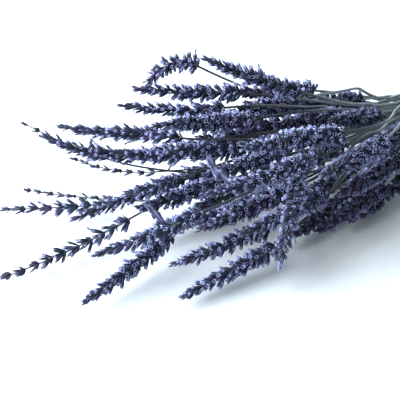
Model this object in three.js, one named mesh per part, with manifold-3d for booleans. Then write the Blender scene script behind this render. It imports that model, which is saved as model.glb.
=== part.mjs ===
// A bunch of dried lavender lying on a table: cut stems held by an elastic band, and on each stem
// a flower spike, whose small tubular calyces stand in whorls round it.
// Millimetres, +Z up. The flower tips point along -X and the cut ends along +X.

import * as THREE from "three";
import { mergeVertices } from "three/addons/utils/BufferGeometryUtils.js";
import Module from "manifold-3d";

const wasm = await Module();
wasm.setup();

// Driving dimensions
const stemWidth = 1.8; // across the flats of a square stem
const stemsAbreast = [5, 7, 9, 9, 9, 7, 5]; // stems side by side in each layer at the band
const stemPitch = 1.7; // neighbours in a layer press into each other
const layerPitch = 2.5; // layers stay apart
const stemUnevenness = 0.08; // every second stem lies a little higher
const bandWidth = 7;
const bandThickness = 1.4;
const bandInnerRadius = 9.7;
const bandTurns = 2;
const bandGroove = 0.35; // depth and half width of the groove between two turns
const bandSides = 18;
const gripLength = 13; // from the band's middle to where the stems start to spread
const tailLength = 84; // from the band's middle to the cut ends
const tailScatter = 9; // how unevenly the ends are cut
const tailSpread = 1.75; // how much wider the ends lie than the stems at the band
const tailSway = 0.4; // how far an end lies to one side of its even place

// How the calyces stand on a spike: its radius, the distance between two whorls, the calyces in each, their
// length and width, the half width of its core, and how far along the core a calyx is rooted.
const DENSE = { radius: 5, spacing: 12.6, calyces: 4, length: 11.4, width: 3.8, core: 1.3, root: 1.8 };
const NODDING = { radius: 5, spacing: 12.6, calyces: 4, length: 8.4, width: 3.6, core: 1.3, root: 1.8 };
const SLIM = { radius: 3.7, spacing: 12.6, calyces: 4, length: 9.4, width: 3, core: 1, root: 1.6 };
const LOOSE = { radius: 4.8, spacing: 11.5, calyces: 3, length: 9, width: 3, core: 0.9, root: 1.5 };
const THIN = { radius: 2.8, spacing: 10, calyces: 3, length: 6.4, width: 2.2, core: 0.95, root: 1.5 };

// Flower spikes, one row each: tip x, y, z, then base x, y, z, measured from the band's foot, how far
// the middle sags below a straight line (a nodding spike stands above it), and how its calyces stand.
// The rows start with the spikes at the front and left of the bunch.
const SPIKES = [
  [-284, 1, 6, -219, -2, 13, 2, LOOSE],
  [-266, -37, 7, -215, -29, 15, 1, DENSE],
  [-232, -57, 8, -181, -58, 16, 1, DENSE],
  [-228, -50, 17, -179, -58, 21, 1, DENSE],
  [-255, -32, 22, -206, -44, 29, 1, DENSE],
  [-253, -12, 30, -208, -20, 36, 0, SLIM],
  [-246, 24, 53, -197, -3, 41, 6, SLIM],
  [-223, 2, 54, -172, -22, 49, 2, DENSE],
  [-258, 50, 9, -212, 19, 12, 1, LOOSE],
  [-247, 46, 16, -215, 19, 11, 1, THIN],
  [-228, 32, 34, -196, 8, 26, 3, THIN],
  [-249, 37, 57, -224, 14, 42, 1, THIN],
  [-242, 15, 59, -196, -12, 50, 2, SLIM],
  [-210, 17, 62, -163, -1, 54, 1, LOOSE],
  [-201, 17, 63, -153, -2, 54, 1, DENSE],
  [-167, 55, 47, -148, 37, 58, -6, NODDING],
  [-97, 8, 29, -54, -3, 22, 1, DENSE],
  [-180, -8, 84, -134, -22, 60, 1, DENSE],
  [-212, -51, 44, -155, -60, 46, 1, DENSE],
  [-190, -48, 57, -140, -56, 52, 1, DENSE],
  [-165, -66, 48, -110, -54, 43, 1, DENSE],
  [-216, -47, 31, -160, -46, 31, 1, DENSE],
  [-201, -60, 24, -148, -58, 24, 1, DENSE],
  [-191, -66, 13, -161, -50, 36, -8, NODDING],
  [-134, -55, 9, -84, -49, 12, 1, DENSE],
  [-113, -52, 28, -60, -30, 22, 1, DENSE],
  [-130, -50, 19, -78, -36, 20, 1, DENSE],
  [-212, -11, 56, -160, -20, 50, 2, DENSE],
  [-184, -3, 30, -131, -12, 30, 2, DENSE],
  [-165, 4, 48, -112, -2, 40, 2, DENSE],
  [-136, 14, 40, -84, 6, 30, 1, DENSE],
  [-169, 12, 36, -118, 4, 32, 2, DENSE],
  [-151, -42, 17, -100, -36, 16, 0, DENSE],
  [-164, -54, 7, -112, -47, 7, 0, DENSE],
  [-200, -18, 14, -148, -14, 15, 0, DENSE],
  [-140, -6, 21, -88, -4, 17, 0, DENSE],
  [-160, -38, 30, -106, -28, 26, 1, DENSE],
  [-120, 32, 32, -72, 16, 22, 1, DENSE],
  [-122, -28, 42, -72, -16, 30, 1, DENSE],
  [-200, 22, 32, -150, 12, 29, 2, DENSE],
  [-218, 6, 20, -166, 2, 20, 1, DENSE],
  [-222, -14, 12, -172, -16, 14, 0, DENSE],
  [-146, 12, 49, -97, 4, 38, 1, DENSE],
  [-118, 0, 41, -70, -4, 30, 1, DENSE],
  [-148, -20, 46, -97, -12, 34, 1, DENSE],
  [-199, -32, 42, -148, -27, 36, 1, DENSE],
  [-184, 8, 48, -134, 2, 40, 1, DENSE],
  [-224, -16, 26, -174, -22, 26, 1, DENSE],
  [-206, -34, 22, -156, -34, 20, 1, DENSE],
  [-160, -62, 12, -110, -54, 14, 1, DENSE],
  [-150, -64, 30, -100, -54, 28, 1, DENSE],
];

// How the bunch is settled: stems are bent clear of each other in small steps
const pointSpacing = 2.5; // between the points by which a stem is bent
const clearance = 0.9; // left between two pieces while they settle
const settleSteps = 360;
const softSteps = 180; // the first steps, in which a bend spreads far along its stem
const softSpread = 8; // smoothing passes in a soft step, and one in a later step
const searchEvery = 20; // steps between two searches for near points
const searchMargin = 6;
const springBack = 0.997; // share of its bend that a stem keeps in each step
const looseReach = 12; // beyond the grip, where stems have come fully apart
const bendTolerance = 0.42; // between a stem as settled and the straight pieces it is built of

// Shares and small angles
const bendHandle = 0.36; // how soon a stem turns from one end's direction, as a share of the distance
const bareEnd = 0.6; // a spike's radius at its two ends, as a share of its full radius
const shoulder = 0.68; // where a calyx is widest, as a share of its length
const calyxDepth = 0.7; // of a calyx, as a share of its width
const calyxTaper = 0.2; // how much shorter the calyces get towards the tip
const calyxUnevenness = 0.05; // in size, from one to the next
const leanUnevenness = 0.05; // in radians
const topCalyx = 0.86; // length of the calyx at the very tip, as a share of a full one
const firstWhorl = 1; // millimetres from the base of a spike

const bandOuterRadius = bandInnerRadius + bandThickness;
const bandHeight = bandOuterRadius * Math.cos(Math.PI / bandSides); // it rests on one flat side
const lowestLayer = bandHeight - ((stemsAbreast.length - 1) / 2) * layerPitch;
const stemReach = stemWidth * Math.SQRT1_2;
const stemSection = 4;

// An even scatter from -1 to 1, the same on every run.
const scatter = (k) => 2 * ((k * 0.61803398875) % 1) - 1;

// The places of the stems inside the band, layer by layer from the lowest.
function bandPlaces() {
  return stemsAbreast.flatMap((count, layer) =>
    Array.from({ length: count }, (_, k) => {
      const y = (k - (count - 1) / 2) * stemPitch;
      const z = lowestLayer + layer * layerPitch + (k % 2) * stemUnevenness;
      return { y, z, layer };
    }),
  );
}

// Gives each spike the place at the band that its stem reaches without crossing the others.
function assignPlaces() {
  const places = bandPlaces();
  const aim = SPIKES.map(([, , , x, y, z]) => ({ across: y / -x, up: (z - bandHeight) / -x }));
  const byHeight = SPIKES.map((_, i) => i).sort((a, b) => aim[a].up - aim[b].up);
  const placeOf = [];
  let start = 0;
  for (const count of stemsAbreast) {
    const layer = byHeight.slice(start, start + count).sort((a, b) => aim[a].across - aim[b].across);
    layer.forEach((spike, k) => (placeOf[spike] = places[start + k]));
    start += count;
  }
  return placeOf;
}

// How far a spike reaches from its axis, at a share of the way from its base to its tip.
function spikeReach(kind, share) {
  return kind.radius * Math.min(1, bareEnd + share * 4, bareEnd + (1 - share) * 3);
}

// The line of one stem as first drawn, from the band to the tip of its spike, and its reach at each point.
function drawStem([tipX, tipY, tipZ, baseX, baseY, baseZ, sag, kind], place) {
  const start = new THREE.Vector3(-gripLength, place.y, place.z);
  const base = new THREE.Vector3(baseX, baseY, baseZ);
  const tip = new THREE.Vector3(tipX, tipY, tipZ);
  const along = tip.clone().sub(base);
  const length = along.length();
  const alongAtBase = along.clone().add(new THREE.Vector3(0, 0, -4 * sag));
  const handle = start.distanceTo(base) * bendHandle;
  const bend = new THREE.CubicBezierCurve3(
    start,
    start.clone().add(new THREE.Vector3(-handle, 0, 0)),
    base.clone().addScaledVector(alongAtBase, -handle / length),
    base,
  );
  const stemSteps = Math.round(start.distanceTo(base) / pointSpacing);
  const spikeSteps = Math.round(length / pointSpacing);
  const rest = bend.getPoints(stemSteps);
  const reach = rest.map(() => stemReach);
  for (let k = 1; k <= spikeSteps; k++) {
    const share = k / spikeSteps;
    const point = base.clone().addScaledVector(along, share);
    point.z -= 4 * sag * share * (1 - share);
    rest.push(point);
    reach.push(spikeReach(kind, share));
  }
  reach[stemSteps] = spikeReach(kind, 0);
  return { kind, place, rest, reach, stemSteps, line: rest.map((p) => p.clone()) };
}

// The distance that two points of different stems keep.
function needed(a, b) {
  const apart = a.reach + b.reach + clearance;
  if (a.reach > stemReach || b.reach > stemReach) return apart;
  const share = Math.min(1, (-gripLength - Math.max(a.rest.x, b.rest.x)) / looseReach);
  return layerPitch + (apart - layerPitch) * share;
}

// The pairs of points of different stems that lie near each other, with the distance each pair keeps.
function nearPairs(points) {
  const near = [];
  points.forEach((a, i) => {
    for (const b of points.slice(i + 1)) {
      if (a.stem === b.stem) continue;
      const need = needed(a, b);
      if (a.now.distanceTo(b.now) < need + searchMargin) near.push([a, b, need]);
    }
  });
  return near;
}

// Bends the stems until nothing overlaps. A stem's first point stays in the band's grip.
function settle(stems) {
  const points = stems.flatMap((stem, s) =>
    stem.rest.map((rest, k) => {
      return { stem: s, rest, now: stem.line[k], reach: stem.reach[k], push: new THREE.Vector3(), hits: 0 };
    }).slice(1),
  );
  const apart = new THREE.Vector3();
  let near = [];
  for (let step = 0; step < settleSteps; step++) {
    if (step % searchEvery === 0) near = nearPairs(points);
    for (const [a, b, need] of near) {
      apart.subVectors(a.now, b.now);
      const distance = apart.length();
      if (distance >= need) continue;
      apart.multiplyScalar((need - distance) / 2 / distance);
      a.push.add(apart);
      b.push.sub(apart);
      a.hits += 1;
      b.hits += 1;
    }
    for (const p of points) {
      if (p.hits) p.now.addScaledVector(p.push, 1 / p.hits);
      p.push.set(0, 0, 0);
      p.hits = 0;
    }
    for (const stem of stems) relax(stem, step < softSteps ? softSpread : 1);
  }
}

// Spreads the bend of a stem along it, lets it spring back, and keeps it above the table.
function relax(stem, passes) {
  const last = stem.rest.length - 1;
  let bend = stem.line.map((p, k) => p.clone().sub(stem.rest[k]).multiplyScalar(springBack));
  for (let pass = 0; pass < passes; pass++) {
    bend = bend.map((b, k) => {
      const before = bend[Math.max(0, k - 1)];
      const after = bend[Math.min(last, k + 1)];
      return b.clone().multiplyScalar(0.5).addScaledVector(before, 0.25).addScaledVector(after, 0.25);
    });
    bend[0].set(0, 0, 0);
  }
  stem.line.forEach((p, k) => {
    p.addVectors(stem.rest[k], bend[k]);
    p.z = Math.max(p.z, stem.reach[k] + clearance / 2);
  });
}

// A line with one cross-section at each of its points.
class Centreline extends THREE.Curve {
  constructor(points) {
    super();
    this.points = points;
  }
  getPoint(t, target = new THREE.Vector3()) {
    const place = Math.min(Math.max(t, 0), 1) * (this.points.length - 1);
    const k = Math.min(Math.floor(place), this.points.length - 2);
    return target.lerpVectors(this.points[k], this.points[k + 1], place - k);
  }
  getPointAt(u, target) {
    return this.getPoint(u, target);
  }
  getTangentAt(u, target) {
    return this.getTangent(u, target);
  }
}

const solidOf = (geometry) => {
  geometry.deleteAttribute("normal");
  geometry.deleteAttribute("uv");
  const merged = mergeVertices(geometry, 1e-4);
  return new wasm.Manifold(
    new wasm.Mesh({
      numProp: 3,
      vertProperties: merged.attributes.position.array,
      triVerts: new Uint32Array(merged.index.array),
    }),
  );
};

// Fuses overlapping geometries into one closed geometry.
function fuse(geometries) {
  const { vertProperties, triVerts } = wasm.Manifold.union(geometries.map(solidOf)).getMesh();
  const fused = new THREE.BufferGeometry();
  fused.setAttribute("position", new THREE.BufferAttribute(vertProperties, 3));
  fused.setIndex(new THREE.BufferAttribute(triVerts, 1));
  return fused;
}

// The fewest points of a line whose chords stay within a tolerance of it.
function fewest(line, tolerance) {
  const kept = [line[0]];
  const chord = new THREE.Line3();
  const nearest = new THREE.Vector3();
  let start = 0;
  for (let end = 2; end < line.length; end++) {
    chord.set(line[start], line[end]);
    const strays = line
      .slice(start + 1, end)
      .some((p) => chord.closestPointToPoint(p, true, nearest).distanceTo(p) > tolerance);
    if (!strays) continue;
    start = end - 1;
    kept.push(line[start]);
  }
  kept.push(line[line.length - 1]);
  return kept;
}

// A rod of regular cross-section along a line.
function rod(points, reach, sides) {
  const turn = Math.PI / sides;
  const corners = Array.from({ length: sides }, (_, k) => {
    const angle = turn + (k * 2 * Math.PI) / sides;
    return new THREE.Vector2(reach * Math.cos(angle), reach * Math.sin(angle));
  });
  return new THREE.ExtrudeGeometry(new THREE.Shape(corners), {
    steps: points.length - 1,
    extrudePath: new Centreline(points),
    bevelEnabled: false,
  });
}

// A stem from its cut end, through the band, to the base of its spike.
function stemRod(stem, number) {
  const { y, z } = stem.place;
  const end = new THREE.Vector3(
    tailLength + tailScatter * scatter(number),
    y * tailSpread + tailSway * scatter(number * 3),
    stemReach + clearance + (z - lowestLayer) * tailSpread,
  );
  const grip = new THREE.Vector3(gripLength, y, z);
  const points = [end, grip, ...fewest(stem.line.slice(0, stem.stemSteps + 1), bendTolerance)];
  const tip = points[points.length - 1].clone();
  tip.lerp(points[points.length - 2], clearance / tip.distanceTo(points[points.length - 2]));
  points[points.length - 1] = tip;
  return rod(points, stemReach, stemSection);
}

function spikeLength(stem) {
  const points = stem.line.slice(stem.stemSteps);
  return points.reduce((sum, p, k) => (k ? sum + p.distanceTo(points[k - 1]) : 0), 0);
}

// A point and the direction at a distance along a spike.
function spikeFrame(stem, distance) {
  const points = stem.line.slice(stem.stemSteps);
  let k = 0;
  let left = distance;
  while (k < points.length - 2 && left > points[k].distanceTo(points[k + 1])) {
    left -= points[k].distanceTo(points[k + 1]);
    k += 1;
  }
  const along = points[k + 1].clone().sub(points[k]).normalize();
  return { at: points[k].clone().addScaledVector(along, left), along };
}

// A direction square to a spike, turned round it from the level one.
function sideways(along, turn) {
  return new THREE.Vector3(0, 0, 1).cross(along).normalize().applyAxisAngle(along, turn);
}

// A flower spike as one skin. A thin core has as many sides as there are calyces in a whorl, and each
// whorl raises a calyx from every side: narrow at its root, widest at its shoulder, closed to a short
// tip. Each whorl is turned half a side from the last.
function spike(stem, number) {
  const { kind } = stem;
  const sides = kind.calyces;
  const eachTurn = (2 * Math.PI) / sides;
  const vertices = [];
  const faces = [];
  const add = (point) => vertices.push(point) - 1;
  const apart = (a, b) => vertices[a].distanceTo(vertices[b]);
  // Four corners as two faces, split along the shorter diagonal
  const quad = (a, b, c, d) => {
    faces.push(...(apart(a, c) < apart(b, d) ? [[a, b, c], [a, c, d]] : [[a, b, d], [b, c, d]]));
  };

  const ring = (distance, turn) => {
    const { at, along } = spikeFrame(stem, distance);
    return Array.from({ length: sides }, (_, k) =>
      add(at.clone().addScaledVector(sideways(along, turn + (k - 0.5) * eachTurn), kind.core)),
    );
  };
  const skin = (lower, upper) => {
    lower.forEach((v, k) => quad(v, lower[(k + 1) % sides], upper[(k + 1) % sides], upper[k]));
  };
  // A calyx on four corners, two towards the base and then two towards the tip.
  const raise = (corners, direction, out, size) => {
    const root = corners.reduce((sum, v) => sum.add(vertices[v]), new THREE.Vector3()).divideScalar(4);
    const across = new THREE.Vector3().crossVectors(direction, out).normalize();
    const back = new THREE.Vector3().crossVectors(across, direction);
    const length = size * kind.length;
    const halfWidth = (size * kind.width) / 2;
    const centre = root.clone().addScaledVector(direction, length * shoulder);
    const widest = [[-1, 1], [1, 1], [1, -1], [-1, -1]].map(([u, v]) => {
      const corner = centre.clone().addScaledVector(across, u * halfWidth);
      return add(corner.addScaledVector(back, v * halfWidth * calyxDepth));
    });
    const tip = add(root.addScaledVector(direction, length));
    corners.forEach((v, k) => {
      const next = (k + 1) % 4;
      quad(v, corners[next], widest[next], widest[k]);
      faces.push([widest[k], widest[next], tip]);
    });
  };

  const length = spikeLength(stem);
  const whorls = Math.round(length / kind.spacing);
  const lastRoot = length - kind.length * topCalyx;
  const tilt = Math.asin((kind.radius - kind.core) / kind.length);
  let below = ring(0, 0);
  faces.push(...below.slice(2).map((v, k) => [below[0], v, below[k + 1]]));
  for (let w = 0; w < whorls; w++) {
    const distance = firstWhorl + ((lastRoot - firstWhorl) * w) / whorls;
    const turn = ((w % 2) * eachTurn) / 2;
    const { along } = spikeFrame(stem, distance);
    const low = ring(distance, turn);
    const high = ring(distance + kind.root, turn);
    skin(below, low);
    for (let c = 0; c < sides; c++) {
      const next = (c + 1) % sides;
      const out = sideways(along, turn + c * eachTurn);
      const lean = tilt + leanUnevenness * scatter(number * 5 + w * 7 + c * 3);
      const direction = along.clone().multiplyScalar(Math.cos(lean)).addScaledVector(out, Math.sin(lean));
      const uneven = 1 + calyxUnevenness * (scatter(number + w * 3 + c * 11) - 1);
      const size = uneven * (1 - calyxTaper * (w / whorls) ** 2);
      raise([low[c], low[next], high[next], high[c]], direction, out, size);
    }
    below = high;
  }

  const top = ring(lastRoot, 0);
  skin(below, top);
  if (sides === 4) {
    const { along } = spikeFrame(stem, lastRoot);
    raise(top, along, vertices[top[0]].clone().sub(vertices[top[3]]), topCalyx);
  } else {
    const tip = add(spikeFrame(stem, length).at);
    top.forEach((v, k) => faces.push([v, top[(k + 1) % sides], tip]));
  }
  return new THREE.BufferGeometry().setFromPoints(vertices).setIndex(faces.flat());
}

// The elastic band: flat turns side by side, a shallow groove between each two.
function band() {
  const turn = bandWidth / bandTurns;
  const outline = [new THREE.Vector2(bandInnerRadius, -bandWidth / 2)];
  outline.push(new THREE.Vector2(bandOuterRadius, -bandWidth / 2));
  for (let k = 1; k < bandTurns; k++) {
    const at = -bandWidth / 2 + k * turn;
    outline.push(new THREE.Vector2(bandOuterRadius, at - bandGroove));
    outline.push(new THREE.Vector2(bandOuterRadius - bandGroove, at));
    outline.push(new THREE.Vector2(bandOuterRadius, at + bandGroove));
  }
  outline.push(new THREE.Vector2(bandOuterRadius, bandWidth / 2));
  outline.push(new THREE.Vector2(bandInnerRadius, bandWidth / 2));
  outline.push(outline[0].clone());
  return new THREE.LatheGeometry(outline, bandSides).rotateY(Math.PI / bandSides);
}

const violet = { color: 0x3d4269, roughness: 0.85, metalness: 0 };
const paleViolet = { color: 0x525c80, roughness: 0.85, metalness: 0 };
const greyGreen = { color: 0x6e7c74, roughness: 0.8, metalness: 0 };
const tan = { color: 0xb99b6b, roughness: 0.6, metalness: 0 };
const twoDigits = (n) => String(n).padStart(2, "0");

function piece(name, geometry, finish) {
  const mesh = new THREE.Mesh(geometry, new THREE.MeshStandardMaterial(finish));
  mesh.name = name;
  return mesh;
}

const bunch = new THREE.Group();
const places = assignPlaces();
const stems = SPIKES.map((row, i) => drawStem(row, places[i]));
settle(stems);

const heads = new THREE.Group();
stems.forEach((stem, i) => {
  const finish = stem.kind.calyces === 4 ? violet : paleViolet;
  heads.add(piece(`spike_${twoDigits(i + 1)}`, spike(stem, i), finish));
});
bunch.add(heads);

const stalks = new THREE.Group();
stemsAbreast.forEach((_, layer) => {
  const rods = stems.flatMap((stem, i) => (stem.place.layer === layer ? [stemRod(stem, i)] : []));
  stalks.add(piece(`stems_${layer + 1}`, fuse(rods), greyGreen));
});
bunch.add(stalks);

const tie = piece("band", band(), tan);
tie.rotation.z = Math.PI / 2;
tie.position.z = bandHeight;
bunch.add(tie);

// The origin lies under the middle of the whole bunch, on the table.
const extent = new THREE.Box3().setFromObject(bunch, true);
const middle = extent.getCenter(new THREE.Vector3());
bunch.position.set(-middle.x, -middle.y, -extent.min.z);

export default bunch;
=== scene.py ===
"""A bunch of dried lavender on a table: flower spikes, stems and the elastic that holds them."""

import functools
import math
import random
from collections import namedtuple

import bmesh
import bpy
import numpy as np
from bpy.props import FloatProperty, FloatVectorProperty, IntProperty, PointerProperty
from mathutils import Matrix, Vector


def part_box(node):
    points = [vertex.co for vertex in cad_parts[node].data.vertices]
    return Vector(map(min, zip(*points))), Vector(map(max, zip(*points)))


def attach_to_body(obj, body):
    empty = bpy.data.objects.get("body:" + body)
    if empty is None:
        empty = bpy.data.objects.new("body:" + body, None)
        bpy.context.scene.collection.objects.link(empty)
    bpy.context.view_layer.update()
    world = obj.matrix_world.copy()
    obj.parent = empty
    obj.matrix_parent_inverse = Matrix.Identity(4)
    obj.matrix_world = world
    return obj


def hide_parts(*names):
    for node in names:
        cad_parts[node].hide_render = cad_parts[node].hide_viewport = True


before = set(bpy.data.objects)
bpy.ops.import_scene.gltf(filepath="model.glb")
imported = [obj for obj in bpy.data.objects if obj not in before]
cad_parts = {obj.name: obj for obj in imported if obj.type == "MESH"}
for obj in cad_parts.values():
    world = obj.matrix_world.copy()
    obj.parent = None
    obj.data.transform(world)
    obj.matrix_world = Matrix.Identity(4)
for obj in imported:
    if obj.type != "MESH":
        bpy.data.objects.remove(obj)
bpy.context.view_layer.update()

bl_info = {
    "name": "Dried lavender bunch",
    "version": (1, 0, 0),
    "blender": (4, 5, 0),
    "location": "3D View > Sidebar > Lavender",
    "description": "Flower spikes, stems and elastic of a bunch of dried lavender",
    "category": "Object",
}

BODY = "root"
MM = 0.001
DRAWS_APART = 31  # the seeds of two pieces lie this far apart, more than the draws that one makes
NOISE_ROUGHNESS = 0.55
GOLDEN_SHARE = 0.61803398875  # its multiples spread evenly between two whole numbers

# The layout of the solids, in millimetres, measured from the foot of the band
STEM_WIDTH = 1.8
STEMS_ABREAST = (5, 7, 9, 9, 9, 7, 5)
STEM_PITCH = 1.7
LAYER_PITCH = 2.5
STEM_UNEVENNESS = 0.08
BAND_OUTER_RADIUS = 11.1
BAND_SIDES = 18
GRIP_LENGTH = 13
TAIL_LENGTH = 84
TAIL_SCATTER = 9
TAIL_SPREAD = 1.75
TAIL_SWAY = 0.4
BAND_HEIGHT = BAND_OUTER_RADIUS * math.cos(math.pi / BAND_SIDES)
LOWEST_LAYER = BAND_HEIGHT - (len(STEMS_ABREAST) - 1) / 2 * LAYER_PITCH
STEM_REACH = STEM_WIDTH * math.sqrt(0.5)

# How the bunch is settled: stems are bent clear of each other in small steps
POINT_SPACING = 2.5
CLEARANCE = 0.9
SETTLE_STEPS = 360
SOFT_STEPS = 180  # the first steps, in which a bend is spread along its stem
SOFT_SPREAD = 8  # times in a step
SEARCH_EVERY = 20  # steps
SEARCH_MARGIN = 6
SPRING_BACK = 0.997  # the share of its bend that a stem keeps from step to step
LOOSE_REACH = 12  # the way from the band in which stems part from the layers' pitch to full clearance
BEND_HANDLE = 0.36  # the handles of a stem's first curve, as a share of its length
BARE_END = 0.6  # the reach at the ends of a spike, as a share of its full reach
BASE_WIDENING = 4
TIP_NARROWING = 3
SETTLING_ERROR = 4 * MM  # a spike that settles further than this from its solid is wrong

# How a spike carries its calyces, in millimetres and degrees: the reach of the whole spike, the
# distance between two whorls, the calyces in a whorl, a calyx's length and width, how far it leans
# from the stem and how much that varies, how far the roots of a whorl lie apart along the stem, how
# strongly a whorl gathers on two sides, the length of the bare tip, the share of closed calyces, how
# thick the stem is at the spike, against the usual stem, and how far the calyces fold at the tip.
Habit = namedtuple(
    "Habit",
    "reach spacing calyces length width lean lean_spread rise gathering tip_room closed stem fold",
)
DENSE = Habit(5, 3.6, 12, 5.4, 1.7, 56, 17, 1.6, 0.1, 4.2, 0.12, 1, 0.76)
WHORLED = Habit(5, 4.3, 11, 5.7, 1.65, 44, 15, 1.4, 0.14, 4.2, 0.2, 1, 0.76)
NODDING = Habit(5, 3.8, 12, 5.2, 1.6, 62, 16, 1.4, 0.1, 3.6, 0.1, 0.85, 0.3)
CLUSTERED = Habit(4.8, 4.4, 8, 5.6, 1.5, 36, 13, 1.3, 0.2, 4.2, 0.3, 0.8, 0.76)
SLIM = Habit(3.7, 4.2, 9, 5.9, 1.45, 34, 12, 1.4, 0.16, 4.0, 0.35, 0.75, 0.76)
LOOSE = Habit(4.8, 6.6, 7, 6.2, 1.45, 34, 12, 0.9, 0.3, 4.2, 0.4, 0.8, 0.76)
THIN = Habit(2.8, 5.4, 3, 4.2, 1.1, 24, 8, 0.6, 0.3, 3.2, 0.5, 0.64, 0.76)

# Flower spikes, one row each: tip x, y, z, then base x, y, z, how far the middle sags below a
# straight line (a nodding spike stands above it), and the habit. The rows start at the front left.
SPIKES = (
    (-284, 1, 6, -219, -2, 13, 2, LOOSE),
    (-266, -37, 7, -215, -29, 15, 1, WHORLED),
    (-232, -57, 8, -181, -58, 16, 1, WHORLED),
    (-228, -50, 17, -179, -58, 21, 1, WHORLED),
    (-255, -32, 22, -206, -44, 29, 1, WHORLED),
    (-253, -12, 30, -208, -20, 36, 0, SLIM),
    (-246, 24, 53, -197, -3, 41, 6, SLIM),
    (-223, 2, 54, -172, -22, 49, 2, WHORLED),
    (-258, 50, 9, -212, 19, 12, 1, LOOSE),
    (-247, 46, 16, -215, 19, 11, 1, THIN),
    (-228, 32, 34, -196, 8, 26, 3, THIN),
    (-249, 37, 57, -224, 14, 42, 1, THIN),
    (-242, 15, 59, -196, -12, 50, 2, SLIM),
    (-210, 17, 62, -163, -1, 54, 1, CLUSTERED),
    (-201, 17, 63, -153, -2, 54, 1, WHORLED),
    (-167, 55, 47, -148, 37, 58, -6, NODDING),
    (-97, 8, 29, -54, -3, 22, 1, DENSE),
    (-180, -8, 84, -134, -22, 60, 1, WHORLED),
    (-212, -51, 44, -155, -60, 46, 1, WHORLED),
    (-190, -48, 57, -140, -56, 52, 1, DENSE),
    (-165, -66, 48, -110, -54, 43, 1, DENSE),
    (-216, -47, 31, -160, -46, 31, 1, WHORLED),
    (-201, -60, 24, -148, -58, 24, 1, WHORLED),
    (-191, -66, 13, -161, -50, 36, -8, NODDING),
    (-134, -55, 9, -84, -49, 12, 1, DENSE),
    (-113, -52, 28, -60, -30, 22, 1, DENSE),
    (-130, -50, 19, -78, -36, 20, 1, DENSE),
    (-212, -11, 56, -160, -20, 50, 2, DENSE),
    (-184, -3, 30, -131, -12, 30, 2, DENSE),
    (-165, 4, 48, -112, -2, 40, 2, DENSE),
    (-136, 14, 40, -84, 6, 30, 1, DENSE),
    (-169, 12, 36, -118, 4, 32, 2, DENSE),
    (-151, -42, 17, -100, -36, 16, 0, DENSE),
    (-164, -54, 7, -112, -47, 7, 0, DENSE),
    (-200, -18, 14, -148, -14, 15, 0, DENSE),
    (-140, -6, 21, -88, -4, 17, 0, DENSE),
    (-160, -38, 30, -106, -28, 26, 1, DENSE),
    (-120, 32, 32, -72, 16, 22, 1, DENSE),
    (-122, -28, 42, -72, -16, 30, 1, DENSE),
    (-200, 22, 32, -150, 12, 29, 2, DENSE),
    (-218, 6, 20, -166, 2, 20, 1, WHORLED),
    (-222, -14, 12, -172, -16, 14, 0, WHORLED),
    (-146, 12, 49, -97, 4, 38, 1, DENSE),
    (-118, 0, 41, -70, -4, 30, 1, DENSE),
    (-148, -20, 46, -97, -12, 34, 1, DENSE),
    (-199, -32, 42, -148, -27, 36, 1, DENSE),
    (-184, 8, 48, -134, 2, 40, 1, DENSE),
    (-224, -16, 26, -174, -22, 26, 1, DENSE),
    (-206, -34, 22, -156, -34, 20, 1, DENSE),
    (-160, -62, 12, -110, -54, 14, 1, DENSE),
    (-150, -64, 30, -100, -54, 28, 1, DENSE),
)

# A settled stem: its number, its habit, its y and z in the band, the layer that it lies in there, the
# points of its line from the band to the tip, and the number of the point at the base of its spike
Stem = namedtuple("Stem", "number habit place layer line base")


def scatter(k):
    """An even scatter from -1 to 1, the same on every run."""
    return 2 * ((k * GOLDEN_SHARE) % 1) - 1


def nearest_whole(value):
    """The nearest whole number, with halves going up."""
    return math.floor(value + 0.5)


def band_places():
    """The places of the stems inside the band as (y, z, layer), layer by layer from the lowest."""
    places = []
    for layer, count in enumerate(STEMS_ABREAST):
        for k in range(count):
            y = (k - (count - 1) / 2) * STEM_PITCH
            places.append((y, LOWEST_LAYER + layer * LAYER_PITCH + (k % 2) * STEM_UNEVENNESS, layer))
    return places


def assign_places():
    """Gives each spike the place at the band that its stem reaches without crossing the others."""
    places = band_places()
    across = [row[4] / -row[3] for row in SPIKES]
    up = [(row[5] - BAND_HEIGHT) / -row[3] for row in SPIKES]
    by_height = sorted(range(len(SPIKES)), key=lambda i: up[i])
    place_of = {}
    start = 0
    for count in STEMS_ABREAST:
        layer = sorted(by_height[start:start + count], key=lambda i: across[i])
        for k, spike in enumerate(layer):
            place_of[spike] = places[start + k]
        start += count
    return place_of


def spike_reach(habit, share):
    """How far a spike reaches from its stem, at a share of its length: less at both ends."""
    return habit.reach * min(1, BARE_END + share * BASE_WIDENING, BARE_END + (1 - share) * TIP_NARROWING)


def draw_stem(row, place):
    """The line of one stem as first drawn, its reach at each point, and the number of its spike's base."""
    tip, base, sag, habit = np.array(row[0:3], float), np.array(row[3:6], float), row[6], row[7]
    start = np.array((-GRIP_LENGTH, place[0], place[1]))
    along = tip - base
    length = np.linalg.norm(along)
    distance = np.linalg.norm(base - start)
    handle = distance * BEND_HANDLE
    first = start + np.array((-handle, 0, 0))
    second = base - (along + np.array((0, 0, -4 * sag))) * handle / length
    stem_steps = nearest_whole(distance / POINT_SPACING)
    spike_steps = nearest_whole(length / POINT_SPACING)
    points = []
    for k in range(stem_steps + 1):
        t = k / stem_steps
        u = 1 - t
        points.append(u**3 * start + 3 * u * u * t * first + 3 * u * t * t * second + t**3 * base)
    reach = [STEM_REACH] * stem_steps + [spike_reach(habit, 0)]
    for k in range(1, spike_steps + 1):
        share = k / spike_steps
        point = base + along * share
        point[2] -= 4 * sag * share * (1 - share)
        points.append(point)
        reach.append(spike_reach(habit, share))
    return np.array(points), np.array(reach), stem_steps


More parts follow.
